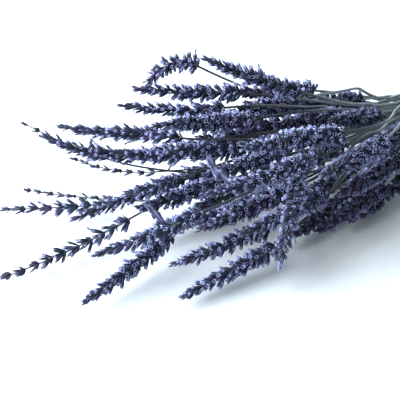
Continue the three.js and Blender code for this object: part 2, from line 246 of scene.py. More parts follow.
def near_pairs(now, rest_x, reach, stem_of, movable):
    """Pairs of points of different stems that lie near each other, with the distance each pair keeps."""
    firsts, seconds, needs = [], [], []
    for stem in range(len(SPIKES)):
        mine = np.flatnonzero((stem_of == stem) & movable)
        others = np.flatnonzero((stem_of > stem) & movable)
        apart = reach[mine][:, None] + reach[others][None] + CLEARANCE
        share = (-GRIP_LENGTH - np.maximum(rest_x[mine][:, None], rest_x[others][None])) / LOOSE_REACH
        bare = (reach[mine][:, None] <= STEM_REACH) & (reach[others][None] <= STEM_REACH)
        need = np.where(bare, LAYER_PITCH + (apart - LAYER_PITCH) * np.minimum(1, share), apart)
        distance = np.linalg.norm(now[mine][:, None] - now[others][None], axis=2)
        a, b = np.nonzero(distance < need + SEARCH_MARGIN)
        firsts.append(mine[a])
        seconds.append(others[b])
        needs.append(need[a, b])
    return np.concatenate(firsts), np.concatenate(seconds), np.concatenate(needs)


@functools.lru_cache(maxsize=1)
def settled_stems():
    """Bends the stems until nothing overlaps. A stem's first point stays in the band's grip."""
    place_of = assign_places()
    drawn = [draw_stem(row, place_of[i]) for i, row in enumerate(SPIKES)]
    rest = np.concatenate([points for points, _, _ in drawn])
    reach = np.concatenate([reaches for _, reaches, _ in drawn])
    counts = [len(points) for points, _, _ in drawn]
    stem_of = np.repeat(np.arange(len(drawn)), counts)
    ends = np.cumsum(counts)
    starts = ends - counts
    number = np.arange(len(rest))
    before = np.maximum(number - 1, starts[stem_of])
    after = np.minimum(number + 1, ends[stem_of] - 1)
    movable = number != starts[stem_of]
    lowest = reach + CLEARANCE / 2
    line = rest.copy()
    for step in range(SETTLE_STEPS):
        if step % SEARCH_EVERY == 0:
            a, b, need = near_pairs(line, rest[:, 0], reach, stem_of, movable)
        between = line[a] - line[b]
        distance = np.linalg.norm(between, axis=1)
        close = distance < need
        i, j = a[close], b[close]
        shift = between[close] * ((need[close] - distance[close]) / 2 / distance[close])[:, None]
        push = np.zeros_like(line)
        hits = np.bincount(i, minlength=len(line)) + np.bincount(j, minlength=len(line))
        for axis in range(3):
            push[:, axis] += np.bincount(i, shift[:, axis], len(line))
            push[:, axis] -= np.bincount(j, shift[:, axis], len(line))
        line += push / np.maximum(hits, 1)[:, None]
        bend = (line - rest) * SPRING_BACK
        for _ in range(SOFT_SPREAD if step < SOFT_STEPS else 1):
            bend = bend * 0.5 + bend[before] * 0.25 + bend[after] * 0.25
            bend[starts] = 0
        line = rest + bend
        line[:, 2] = np.maximum(line[:, 2], lowest)
    stems = []
    for i, (_, _, base) in enumerate(drawn):
        points = line[starts[i]:ends[i]]
        stems.append(Stem(i, SPIKES[i][7], place_of[i][:2], place_of[i][2], points, base))
    return stems


def in_frame(points):
    """Points in millimetres from the band's foot, as metres in the frame."""
    low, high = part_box("band")
    foot = np.array(((low.x + high.x) / 2, (low.y + high.y) / 2, 0))
    return np.asarray(points) * MM + foot


# Node graphs


def both_ways(operation):
    """The methods for an operator between wires or numbers, and for its reflected form."""

    def forwards(self, other):
        return self.combined(operation, self, other)

    def backwards(self, other):
        return self.combined(operation, other, self)

    return forwards, backwards


class Wire:
    """One output of a node, usable in arithmetic."""

    __add__, __radd__ = both_ways("ADD")
    __sub__, __rsub__ = both_ways("SUBTRACT")
    __mul__, __rmul__ = both_ways("MULTIPLY")
    __truediv__, __rtruediv__ = both_ways("DIVIDE")
    __pow__, __rpow__ = both_ways("POWER")
    __lt__, __gt__ = both_ways("LESS_THAN")

    def __init__(self, graph, socket):
        self.graph = graph
        self.socket = socket

    def out(self, name):
        """Another output of the same node."""
        found = [s for s in self.socket.node.outputs if s.name == name and s.enabled]
        return Wire(self.graph, found[0])

    def combined(self, operation, first, second):
        """The result of a Math node, or of a Vector Math node where one part is a vector."""
        wires = [part for part in (first, second) if isinstance(part, Wire)]
        if not any(wire.socket.type == "VECTOR" for wire in wires):
            return self.graph.math(operation, first, second)
        parts = [part if isinstance(part, (Wire, tuple)) else (part,) * 3 for part in (first, second)]
        return self.graph.node("ShaderNodeVectorMath", {"operation": operation}, parts)


class Graph:
    """Adds nodes to a shader or geometry tree."""

    def __init__(self, tree):
        self.tree = tree

    def node(self, kind, settings=None, unnamed=(), **named):
        """Adds a node, sets its settings, then its sockets' values or wires; returns its first output.

        Sockets are given in their order, or by name, with an underscore for each space in the name.
        """
        node = self.tree.nodes.new(kind)
        for name, value in (settings or {}).items():
            setattr(node, name, value)
        sockets = list(zip(node.inputs, unnamed))
        for name, value in named.items():
            label = name.replace("_", " ")
            sockets.append(([s for s in node.inputs if s.name == label and s.enabled][0], value))
        for socket, value in sockets:
            for part in value if isinstance(value, list) else [value]:
                if isinstance(part, Wire):
                    self.tree.links.new(part.socket, socket)
                else:
                    socket.default_value = part
        outputs = [s for s in node.outputs if s.enabled]
        return Wire(self, outputs[0]) if outputs else None

    def math(self, operation, *parts):
        return self.node("ShaderNodeMath", {"operation": operation}, parts)

    def vector(self, x=0.0, y=0.0, z=0.0):
        return self.node("ShaderNodeCombineXYZ", X=x, Y=y, Z=z)

    def split(self, vector):
        """A node whose outputs X, Y and Z are the parts of a vector."""
        return self.node("ShaderNodeSeparateXYZ", Vector=vector)

    def ramp(self, value, low, high):
        """A smooth step from 0 at low to 1 at high."""
        settings = {"interpolation_type": "SMOOTHSTEP"}
        return self.node("ShaderNodeMapRange", settings, Value=value, From_Min=low, From_Max=high)

    def mix(self, factor, first, second):
        """A colour between two colours."""
        a, b = (part if isinstance(part, Wire) else (*part[:3], 1) for part in (first, second))
        return self.node("ShaderNodeMix", {"data_type": "RGBA"}, Factor=factor, A=a, B=b)

    def painted(self, colour, coats):
        """A colour under coats of others, each a mask and its colour, the last on top."""
        for mask, coat in coats:
            colour = self.mix(mask, colour, coat)
        return colour

    def noise(self, scale, detail=3.0, vector=None):
        where = vector or self.node("ShaderNodeTexCoord").out("Object")
        grain = {"Scale": scale, "Detail": detail, "Roughness": NOISE_ROUGHNESS}
        return self.node("ShaderNodeTexNoise", Vector=where, **grain).out("Fac")

    def attribute(self, name, output="Fac"):
        """What is stored on the mesh under a name, in a shader."""
        return self.node("ShaderNodeAttribute", {"attribute_name": name}).out(output)

    def field(self, name, kind="FLOAT"):
        """What is stored on the geometry under a name, in a geometry tree."""
        return self.node("GeometryNodeInputNamedAttribute", {"data_type": kind}, Name=name)

    def store(self, geometry, name, value, kind="FLOAT", domain="POINT"):
        settings = {"data_type": kind, "domain": domain}
        kind = "GeometryNodeStoreNamedAttribute"
        return self.node(kind, settings, Geometry=geometry, Name=name, Value=value)

    def draw(self, seed, number, low=-1.0, high=1.0):
        """A random number for each element, from the piece's own seed and the number of the draw."""
        seed = seed * DRAWS_APART + number
        return self.node("FunctionNodeRandomValue", {"data_type": "FLOAT"}, Min=low, Max=high, Seed=seed)

    def turned(self, rotation, x=0.0, y=0.0, z=0.0):
        """A rotation turned further in its own axes."""
        turn = self.node("FunctionNodeEulerToRotation", Euler=self.vector(x, y, z))
        settings = {"rotation_space": "LOCAL"}
        return self.node("FunctionNodeRotateRotation", settings, Rotation=rotation, Rotate_By=turn)

    def coated(self, geometry, material):
        return self.node("GeometryNodeSetMaterial", Geometry=geometry, Material=material)


def geometry_graph(name, numbers, counts):
    """A geometry tree with named inputs, numbers and whole numbers; returns it and its inputs as wires."""
    tree = bpy.data.node_groups.new(name, "GeometryNodeTree")
    inputs = {"Geometry": "Geometry"} | dict.fromkeys(numbers, "Float") | dict.fromkeys(counts, "Int")
    for label, kind in inputs.items():
        tree.interface.new_socket(label, in_out="INPUT", socket_type=f"NodeSocket{kind}")
    tree.interface.new_socket("Geometry", in_out="OUTPUT", socket_type="NodeSocketGeometry")
    group = tree.nodes.new("NodeGroupInput")
    graph = Graph(tree)
    return graph, {socket.name: Wire(graph, socket) for socket in group.outputs if socket.name}


def finish_graph(graph, geometry):
    graph.node("NodeGroupOutput", Geometry=geometry)
    return graph.tree


def add_object(name, data):
    """A new object in the scene, at the origin."""
    added = bpy.data.objects.new(name, data)
    bpy.context.scene.collection.objects.link(added)
    return added


def mesh_of(name, build):
    """The mesh that a build leaves, which ends the build."""
    mesh = bpy.data.meshes.new(name)
    build.to_mesh(mesh)
    build.free()
    return mesh


def grow(name, lines, tree, values, marks=None):
    """Runs a geometry tree on lines of points and leaves its result as a plain mesh piece.

    The marks are numbers for the lines, one list for each name, which the tree reads as attributes.
    """
    mesh = bpy.data.meshes.new(name)
    points = [Vector(point) for line in lines for point in line]
    edges = []
    start = 0
    for line in lines:
        edges.extend((start + k, start + k + 1) for k in range(len(line) - 1))
        start += len(line)
    mesh.from_pydata(points, edges, [])
    for label, numbers in (marks or {}).items():
        mark = mesh.attributes.new(label, "FLOAT", "POINT")
        mark.data.foreach_set("value", [n for n, line in zip(numbers, lines) for _ in line])
    piece = add_object(name, mesh)
    modifier = piece.modifiers.new("growth", "NODES")
    modifier.node_group = tree
    sockets = {s.name: s.identifier for s in tree.interface.items_tree if s.in_out == "INPUT"}
    for label, value in values.items():
        modifier[sockets[label]] = value
    evaluated = piece.evaluated_get(bpy.context.evaluated_depsgraph_get())
    grown = bpy.data.meshes.new_from_object(evaluated)
    if not grown.polygons:
        raise RuntimeError(f"{name} grew no faces")
    piece.modifiers.clear()
    piece.data = grown
    grown.name = name
    bpy.data.meshes.remove(mesh)
    return piece


def attach(piece, node):
    """Fixes a piece to the bunch in the place of a node."""
    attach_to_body(piece, BODY)
    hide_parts(node)


# Shapes that repeat on a spike


CALYX_SIDES = 8
CALYX_PROFILE = ((0.0, 0.36), (0.3, 0.86), (0.66, 1.0))  # height and half width, as shares
MOUTH_HEIGHT = 0.94
TOOTH_HEIGHT = 1.0
MOUTH_WIDTH = 0.86
TOOTH_WIDTH = 1.0
RIB_DEPTH = 0.09
FLOWER_SEED = 7
# Marks on the shapes: painted shade inside a calyx, a painted highlight round its mouth, the colour of a
# dried flower, and of a bract
SHAPE_MARKS = ("inside", "rim", "petal", "bract")
SURFACE_MAP = "surface"


def shape_mesh(name, rings, marks):
    """A closed body through rings of points, which run counter-clockwise, with marks for each ring."""
    build = bmesh.new()
    layers = {label: build.verts.layers.float.new(label) for label in SHAPE_MARKS}
    uv = build.loops.layers.uv.new(SURFACE_MAP)
    rows = []
    for points, mark in zip(rings, marks):
        row = [build.verts.new(point) for point in points]
        for vert in row:
            for label, value in mark.items():
                vert[layers[label]] = value
        rows.append(row)
    for r, (low, high) in enumerate(zip(rows, rows[1:])):
        sides = len(low)
        for k in range(sides):
            n = (k + 1) % sides
            corners = [(low, k), (low, n), (high, n), (high, k)]
            if len(high) == 1:
                corners = [(low, k), (low, n), (high, 0)]
            face = build.faces.new([row[i] for row, i in corners])
            face.smooth = True
            for loop, (row, _), at in zip(face.loops, corners, (k, k + 1, k + 1, k)):
                loop[uv].uv = (at / sides, (r if row is low else r + 1) / (len(rows) - 1))
    build.faces.new(rows[0][::-1])
    return bpy.data.objects.new(name, mesh_of(name, build))


def ring(height, half_width, ribs=0.0):
    points = []
    for k in range(CALYX_SIDES):
        radius = half_width * (1 + ribs * (-1) ** k)
        angle = 2 * math.pi * k / CALYX_SIDES
        points.append((radius * math.cos(angle), radius * math.sin(angle), height))
    return points


def tube(profile=CALYX_PROFILE):
    """The ribbed tube of a calyx, widest above its middle."""
    return [ring(height, half_width, RIB_DEPTH) for height, half_width in profile]


def mouth():
    """The toothed edge of a calyx: every second corner stands up as a tooth."""
    low, high = ring(MOUTH_HEIGHT, MOUTH_WIDTH), ring(TOOTH_HEIGHT, TOOTH_WIDTH)
    return [low[k] if k % 2 else high[k] for k in range(CALYX_SIDES)]


def open_calyx():
    """An empty calyx: a ribbed tube with a toothed mouth, marked for a painted highlight there and painted
    shade inside.
    """
    rings = [*tube(), mouth(), ring(0.9, 0.72), [(0.0, 0.0, 0.45)]]
    # A painted highlight round the mouth, painted shade inside
    marks = [{}, {}, {"rim": 0.1}, {"rim": 1.0}, {"rim": 0.5, "inside": 0.3}, {"inside": 1.0}]
    return shape_mesh("calyx_1_open", rings, marks)


def closed_bud():
    """A bud that never opened: the same tube, drawn together at its tip."""
    rings = [*tube(), ring(0.9, 0.6), [(0.0, 0.0, 1.06)]]
    # A painted highlight at the closed tip
    marks = [{}, {}, {"rim": 0.05}, {"rim": 0.4}, {"rim": 0.9}]
    return shape_mesh("calyx_2_bud", rings, marks)


def flowering_calyx():
    """A calyx with its flower still in it, dried to a crumpled tube with a torn lip."""
    draw = random.Random(FLOWER_SEED)
    rings = [*tube(CALYX_PROFILE[::2]), mouth()]
    # A painted highlight round the mouth
    marks = [{}, {"rim": 0.1}, {"rim": 1.0}]
    for height, half_width, bend in ((1.1, 0.45, 0.1), (1.42, 0.8, 0.4)):
        rings.append([
            (x * draw.uniform(0.5, 1.2) + bend, y * draw.uniform(0.4, 1.1), z + draw.uniform(-0.08, 0.08))
            for x, y, z in ring(height, half_width)
        ])
        marks.append({"petal": 1.0})
    rings.append([(0.45, 0.05, 1.36)])
    # A little darker at the tip
    marks.append({"petal": 1.0, "inside": 0.3})
    return shape_mesh("calyx_3_flowering", rings, marks)


def bract():
    """A small dry leaf with a raised midrib, one unit long, curling outwards."""
    rings = []
    for z, half_width in ((0.0, 0.1), (0.3, 0.42), (0.62, 0.36), (0.86, 0.16)):
        curl = 0.35 * z * z
        rings.append([
            (curl + 0.02, -half_width, z),
            (curl + 0.08, 0.0, z),
            (curl + 0.02, half_width, z),
            (curl - 0.04, 0.0, z),
        ])
    rings.append([(0.38, 0.0, 1.0)])
    return shape_mesh("bract", rings, [{"bract": 1.0}] * len(rings))


# Materials


RELIEF_DEPTH = 0.2 * MM


def new_material(name):
    material = bpy.data.materials.new(name)
    material.use_nodes = True
    material.node_tree.nodes.clear()
    return material, Graph(material.node_tree)


def finish_material(graph, colour, height=None, strength=0.0, **sockets):
    """The surface shader, with its colour, the relief that a height gives it, and its other sockets."""
    if height is not None:
        relief = {"Strength": strength, "Distance": RELIEF_DEPTH}
        sockets["Normal"] = graph.node("ShaderNodeBump", Height=height, **relief)
    shader = graph.node("ShaderNodeBsdfPrincipled", Base_Color=colour, **sockets)
    graph.node("ShaderNodeOutputMaterial", Surface=shader)


def felted_calyx(look):
    """Dried calyces: downy, violet grey to slate blue, with painted highlights on the mouth and ribs and
    painted shade inside and at the narrow end.
    """
    material, g = new_material("felted_calyx")
    inside, rim, petal, scale = (g.attribute(label) for label in SHAPE_MARKS)
    tone = g.attribute("tone")
    surface = g.split(g.node("ShaderNodeUVMap", {"uv_map": SURFACE_MAP}))
    ribs = g.ramp(g.math("COSINE", surface.out("X") * (math.pi * CALYX_SIDES)), -0.1, 1.0)
    mottle = g.noise(420)
    down = g.noise(2600, detail=2)
    creases = g.ramp(g.noise(700), 0.4, 0.6)
    # Darker with a lower tone, so painted shade on a spike darkens its calyces
    lightness = g.ramp(tone + (mottle - 0.5) * 1.6, -0.9, 0.9)
    # How bright the painted highlights stay: dimmed on dark-toned spikes and on spikes in painted shade
    fresh_and_unshaded = g.ramp(tone, -1.1, -0.1)
    blush = g.ramp(g.noise(160), 0.47, 0.65) * 0.8
    # Painted highlight on the ribs
    lit_ribs = ribs * (mottle * 0.75 - 0.1) * (1 - inside) * (fresh_and_unshaded * 0.6 + 0.4)
    # Painted shade at the narrow end, where the calyces crowd round the rachis
    root_shade = (1 - surface.out("Y")) * 0.35
    # Painted highlight on the mouth and on the tips of closed buds
    edge = rim**2.5 * (fresh_and_unshaded * 0.5 + 0.35)
    flower = petal * (mottle + 0.25) * (creases * 0.75 + 0.25)
    colour = g.painted(g.mix(lightness, look.calyx_dark, look.calyx_light), (
        (blush, look.calyx_violet),
        (lit_ribs, look.calyx_highlight),
        (root_shade, look.calyx_root_shade),
        (edge, look.calyx_highlight),
        (flower, look.corolla),
        # Painted highlight on the veins of dried flowers
        (petal * ribs * 0.35, look.calyx_highlight),
        (scale * 0.8, look.bract),
        # Painted shade inside a calyx
        (g.ramp(inside, 0.1, 0.9), look.throat_shade),
    ))
    height = ribs * 0.35 + down * 0.8 + mottle * 0.6 + petal * creases * 1.5
    finish_material(
        g, colour, height, 0.5, Roughness=0.82, Sheen_Weight=look.down_sheen, Sheen_Roughness=0.35,
        Sheen_Tint=(*look.down_colour, 1), Specular_IOR_Level=0.3,
    )
    return material


def dry_stem(look):
    """Dried stems: grey green, streaked along their length, greener at the foot, pale where they are cut,
    and dark with painted shade at the far end among the spikes.
    """
    material, g = new_material("dry_stem")
    along, tone = g.attribute("along"), g.attribute("tone")
    side = g.attribute("side", "Vector")
    lengthwise = g.vector(along * 60)
    streaks = g.noise(1.0, vector=side * 4.0 + lengthwise)
    fibres = g.ramp(g.noise(1.0, vector=side * 13.0 + lengthwise), 0.38, 0.6)
    blotches = g.noise(90) - 0.5
    foot = 1 - g.ramp(along, 50 * MM, 140 * MM)
    bleached = g.ramp(tone + blotches * 1.5, -0.4, 1.0) * 0.6
    browned = g.ramp(tone + blotches * 2.5, 0.3, 1.3) * foot * 0.7
    # Painted shade on the stems among the spikes and on the rachis
    far = g.ramp(along, 190 * MM, 240 * MM) * 0.95
    cut = 1 - g.ramp(along, 0.02 * MM, 0.3 * MM)
    colour = g.painted(g.mix(g.ramp(streaks, 0.3, 0.7), look.stem_dark, look.stem_light), (
        (bleached, look.stem_straw),
        (foot * 0.65, look.stem_foot),
        (browned, look.stem_brown),
        ((1 - fibres) * 0.4, look.stem_dark),
        (far, look.stem_shade),
        (cut, look.stem_cut),
    ))
    height = streaks + fibres * 0.8 + g.noise(1400) * 0.3
    finish_material(
        g, colour, height, 0.6, Roughness=0.7, Sheen_Weight=0.15, Sheen_Roughness=0.5,
        Specular_IOR_Level=0.35,
    )
    return material


def shared_stem_material(context):
    found = bpy.data.materials.get("dry_stem")
    return found or dry_stem(context.scene.lavender_stems)


def rubber(look):
    """The elastic: tan rubber, dulled by dust, with fine cut lines along it."""
    material, g = new_material("tan_rubber")
    where = g.node("ShaderNodeTexCoord").out("Object")
    fine = g.noise(900, vector=where)
    lines = g.noise(1.0, vector=where * (5200.0, 260.0, 260.0))
    colour = g.painted(g.mix(g.ramp(fine, 0.3, 0.7), look.rubber_dark, look.rubber_light), (
        (g.ramp(lines, 0.45, 0.8) * 0.35, look.rubber_dust),
    ))
    finish_material(g, colour, lines, 0.35, Roughness=0.5 + fine * 0.2)
    return material


def pale_table(look):
    """The table: pale, plain and satin, in wide soft patches."""
    material, g = new_material("pale_table")
    colour = g.mix(g.ramp(g.noise(6), 0.3, 0.7), look.floor_low, look.floor_high)
    finish_material(g, colour, Roughness=0.5, Specular_IOR_Level=0.3)
    return material


# Settings


LENGTH = {"subtype": "DISTANCE", "unit": "LENGTH"}
TURN = {"subtype": "ANGLE", "unit": "ROTATION"}
SHARE = {"subtype": "FACTOR"}


def setting(name, description, default, low, high, **kind):
    """A number that a user may change."""
    return FloatProperty(name=name, description=description, default=default, min=low, max=high, **kind)


def paint(name, description, default):
    """A colour that a user may change."""
    return FloatVectorProperty(
        name=name, description=description, default=default, size=3, min=0, max=1, subtype="COLOR"
    )


class LavenderSpikeSettings(bpy.types.PropertyGroup):
    """Sizes and colours of the flower spikes"""

    crowding: setting("Crowding", "Calyces in a whorl, against the usual number", 1, 0.3, 2)
    calyx_size: setting("Calyx size", "Size of every calyx, against the usual size", 1, 0.5, 1.5)
    rachis_width: setting(
        "Rachis width", "Width of the stem inside a spike", 1.15 * MM, 0.5 * MM, 3 * MM, **LENGTH
    )
    flowering: setting("In flower", "Share of calyces that still hold a dried flower", 0.04, 0, 1, **SHARE)
    buds: setting("Buds", "Closed calyces, against the usual share", 1, 0, 2)
    seed: IntProperty(name="Seed", description="Start of every random draw", default=5, min=0, max=999)
    down_sheen: setting("Down", "Strength of the light caught by the down", 0.15, 0, 1, **SHARE)
    down_colour: paint("Down colour", "Colour of the down", (0.62, 0.72, 1.0))
    calyx_dark: paint("Dark calyx", "Darkest calyces", (0.003, 0.006, 0.013))
    calyx_light: paint("Light calyx", "Lightest calyces", (0.02, 0.035, 0.072))
    calyx_violet: paint("Violet", "Violet blush", (0.075, 0.03, 0.135))
    # Painted shade at the narrow end of a calyx
    calyx_root_shade: paint("Root shade", "Narrow end of a calyx", (0.009, 0.013, 0.02))
    # Painted highlight laid on calyx mouths, ribs and bud tips
    calyx_highlight: paint("Rim", "Mouth and ribs of a calyx", (0.52, 0.58, 0.98))
    # Painted shade inside a calyx
    throat_shade: paint("Throat shade", "Inside of a calyx", (0.006, 0.006, 0.015))
    corolla: paint("Dried flower", "Shrivelled flowers", (0.19, 0.195, 0.35))
    bract: paint("Bract", "Dry scales under a whorl", (0.05, 0.048, 0.062))


class LavenderStemSettings(bpy.types.PropertyGroup):
    """Sizes and colours of the stems"""

    width: setting(
        "Stem width", "Across the flats at the cut end", STEM_WIDTH * MM, 0.5 * MM, 4 * MM, **LENGTH
    )
    taper: setting(
        "Taper", "Share of its width that a stem loses from the cut to the spike", 0.42, 0, 0.6, **SHARE
    )
    stem_dark: paint("Dark stem", "Grooves and shaded streaks", (0.14, 0.18, 0.205))
    stem_light: paint("Light stem", "Raised streaks", (0.43, 0.52, 0.58))
    stem_straw: paint("Straw", "Bleached blotches", (0.42, 0.45, 0.45))
    stem_foot: paint("Foot", "Greener foot of the bunch", (0.2, 0.22, 0.13))
    stem_brown: paint("Brown", "Browned stems and scars near the foot", (0.17, 0.12, 0.07))
    # Painted shade on the far end of the stems and on the rachis, among the spikes
    stem_shade: paint("Far end shade", "Painted shade among the spikes", (0.012, 0.015, 0.026))
    stem_cut: paint("Cut end", "Pith at the cut", (0.62, 0.6, 0.45))


class LavenderBandSettings(bpy.types.PropertyGroup):
    """Sizes and colours of the elastic"""

    strand_width: setting("Strand width", "Width of one strand", 3.35 * MM, 1 * MM, 8 * MM, **LENGTH)
    rubber_dark: paint("Dark rubber", "Shaded tan", (0.36, 0.235, 0.11))
    rubber_light: paint("Light rubber", "Tan", (0.5, 0.35, 0.17))
    rubber_dust: paint("Dust", "Dust on the rubber", (0.6, 0.5, 0.36))


class LavenderStageSettings(bpy.types.PropertyGroup):
    """Table, light and camera"""

    lens: setting("Lens", "Focal length of the camera", 83.7, 20, 200, unit="CAMERA")
    elevation: setting(
        "Elevation", "How far the camera looks down", math.radians(30), 0, math.radians(85), **TURN
    )
    azimuth: setting(
        "Azimuth", "How far the camera is turned to look along the stems, from straight across them",
        math.radians(38), -math.pi, math.pi, **TURN
    )
    distance: setting(
        "Distance", "From the camera to the middle of the picture", 430 * MM, 100 * MM, 3000 * MM, **LENGTH
    )
    window_power: setting(
        "Window", "Power of the wide light beyond the tips of the spikes", 48, 0, 1000, unit="POWER"
    )
    window_colour: paint("Window colour", "Cool daylight", (0.9, 0.965, 1.0))
    sky_strength: setting("Sky", "Strength of the light from all around", 0.34, 0, 5)
    sky_colour: paint("Sky colour", "Colour of the light from all around", (0.82, 0.92, 1.0))
    floor_low: paint("Floor shade", "Darker patches of the table", (0.78, 0.83, 0.87))
    floor_high: paint("Floor", "Table", (0.86, 0.89, 0.91))


# Flower spikes


FEWEST_CALYCES = 3  # in a whorl
CALYCES_SPREAD = 0.1  # how much spikes of one habit differ, as shares
SPACING_SPREAD = 0.05
SPIKE_TONE_SPREAD = 0.3
SHADE_DEPTH = 0.8  # what the painted shade takes off the tone, in the most shaded spikes
SHADE_SPAN = (-165, -120)  # where painted shade on the spikes begins and where it is deepest, along the bunch
FIRST_WHORL = 0.8 * MM  # from the base of the spike
STEM_BELOW = 205 * MM  # the usual length of stem below a spike, where the rachis's colour, painted shade included, goes on
FOLD_THINNING = 0.65  # the share of calyces that a fully folded tip lacks
ROOT_OFFSET = 0.25  # from the middle of the rachis to the root of a calyx, against the width
TIP_BUDS = 0.7  # the share of buds that the tip has over the usual
TIP_SHRINKING = 0.2
TIP_SLIMMING = 0.14
RACHIS_TAPER = 0.4
RACHIS_SIDES = 8
PRESSED_SHARE = 0.1  # what would reach through the table keeps this share of its depth,
PRESSED_LIFT = 0.2 * MM  # and is lifted by this much

# How calyces differ: their place in a whorl, as a share of the room for one, how they lean and tilt, in
# radians, and their size, length, flatness and tone, as shares
PLACE_JITTER = 0.3
LEAN_JITTER = 0.09
TILT_JITTER = 0.12
SIZE_JITTER = 0.12
LENGTH_JITTER = 0.1
FLATNESS_JITTER = 0.2
TONE_JITTER = 0.55

# The dry scales: their length and lean against the calyces', and how much length, turn and tone vary
SCALE_LENGTH = 0.62
SCALE_LEAN = 1.1
SCALE_LENGTH_JITTER = 0.12
SCALE_TURN_JITTER = 0.4
SCALE_TONE_JITTER = 0.8


def whorls_along(g, given, axis):
    """Points for the whorls of a spike, each with its number, its height and the way it grows."""
    room = g.node("GeometryNodeCurveLength", Curve=axis) - given["Tip room"]
    gaps = g.math("ROUND", (room - FIRST_WHORL) / given["Whorl spacing"])
    stretch = g.node("GeometryNodeTrimCurve", {"mode": "LENGTH"}, Curve=axis, Start=FIRST_WHORL, End=room)
    points = g.node("GeometryNodeCurveToPoints", {"mode": "COUNT"}, Curve=stretch, Count=gaps + 1)
    index = g.node("GeometryNodeInputIndex")
    whorls = g.store(points, "whorl", index + 0.0)
    whorls = g.store(whorls, "height", index / gaps)
    return g.store(whorls, "growth", points.out("Tangent"), "FLOAT_VECTOR")


def calyces_on(g, given, whorls, forward, fold, shapes):
    """Whorls of calyces: rooted on the rachis, leaning out and forward, and uneven."""
    seed, whorl, height = given["Seed"], g.field("whorl"), g.field("height")
    amount = g.math("ROUND", given["Calyces in a whorl"] * (1 - given["Fold"] * FOLD_THINNING * height**5))
    copies = g.node(
        "GeometryNodeDuplicateElements", {"domain": "POINT"},
        Geometry=g.store(whorls, "amount", amount),
        Amount=amount,
    )
    place = copies.out("Duplicate Index") + whorl * 0.5 + g.draw(seed, 1) * PLACE_JITTER
    even = place / g.field("amount") * (2 * math.pi)
    gathered = even - g.math("SINE", even * 2) * given["Gathering"]
    around = g.turned(forward, z=gathered + whorl * (math.pi / 2))
    low = g.draw(seed, 2)
    lean = (given["Lean"] - low * given["Lean spread"] + g.draw(seed, 3) * LEAN_JITTER) * fold
    leaning = g.turned(around, x=g.draw(seed, 5) * TILT_JITTER, y=lean)
    facing = g.turned(leaning, z=g.draw(seed, 6) * math.pi)
    root = g.vector(x=given["Rachis width"] * ROOT_OFFSET, z=low * given["Rise"])
    offset = g.node("FunctionNodeRotateVector", Vector=root, Rotation=around)
    seats = g.node("GeometryNodeSetPosition", Geometry=copies, Offset=offset)
    # Each calyx's tone, which carries its spike's painted shade, with a random spread
    seats = g.store(seats, "tone", given["Tone"] + g.draw(seed, 7) * TONE_JITTER)
    bud = g.draw(seed, 8, 0.0, 1.0) < given["Buds"] + height**6 * TIP_BUDS
    flower = g.draw(seed, 9, 0.0, 1.0) < given["In flower"]
    size = (1 - TIP_SHRINKING * height**3) * (1 + g.draw(seed, 4) * SIZE_JITTER)
    half = given["Calyx width"] * (0.5 - TIP_SLIMMING * height**3)
    flatness = g.draw(seed, 14) * FLATNESS_JITTER
    kinds = g.node(
        "GeometryNodeCollectionInfo", {"transform_space": "ORIGINAL"},
        Collection=shapes,
        Separate_Children=True,
        Reset_Children=True,
    )
    return g.node(
        "GeometryNodeInstanceOnPoints",
        Points=seats,
        Instance=kinds,
        Pick_Instance=True,
        Instance_Index=bud + (1 - bud) * flower * 2,
        Rotation=facing,
        Scale=g.vector(
            half * size * (1 + flatness),
            half * size * (1 - flatness),
            given["Calyx length"] * size * (1 + g.draw(seed, 10) * LENGTH_JITTER),
        ),
    )


def scales_under(g, given, whorls, forward, fold, growth, scale):
    """Dry scales, one on each side under a whorl."""
    seed = given["Seed"]
    pairs = g.node("GeometryNodeDuplicateElements", {"domain": "POINT"}, Geometry=whorls, Amount=2)
    side = pairs.out("Duplicate Index") * math.pi + g.field("whorl") * (math.pi / 2)
    side = side + g.draw(seed, 11) * SCALE_TURN_JITTER
    back = growth * (given["Rise"] * -1.0)
    under = g.node("GeometryNodeSetPosition", Geometry=pairs, Offset=back)
    size = given["Calyx length"] * (SCALE_LENGTH + g.draw(seed, 13) * SCALE_LENGTH_JITTER)
    return g.node(
        "GeometryNodeInstanceOnPoints",
        Points=g.store(under, "tone", g.draw(seed, 12) * SCALE_TONE_JITTER),
        Instance=g.node("GeometryNodeObjectInfo", Object=scale).out("Geometry"),
        Rotation=g.turned(g.turned(forward, z=side), y=given["Lean"] * SCALE_LEAN * fold),
        Scale=g.vector(size, size, size),
    )


def rachis_through(g, given, axis, bark):
    """The stem inside the spike."""
    parameter = g.node("GeometryNodeSplineParameter")
    rachis = g.node(
        "GeometryNodeCurveToMesh",
        Curve=g.store(axis, "along", parameter.out("Length") + STEM_BELOW),
        Profile_Curve=g.node("GeometryNodeCurvePrimitiveCircle", Resolution=RACHIS_SIDES, Radius=0.5),
        Scale=given["Rachis width"] * (1 - parameter.out("Factor") * RACHIS_TAPER),
        Fill_Caps=True,
    )
    return g.coated(rachis, bark)


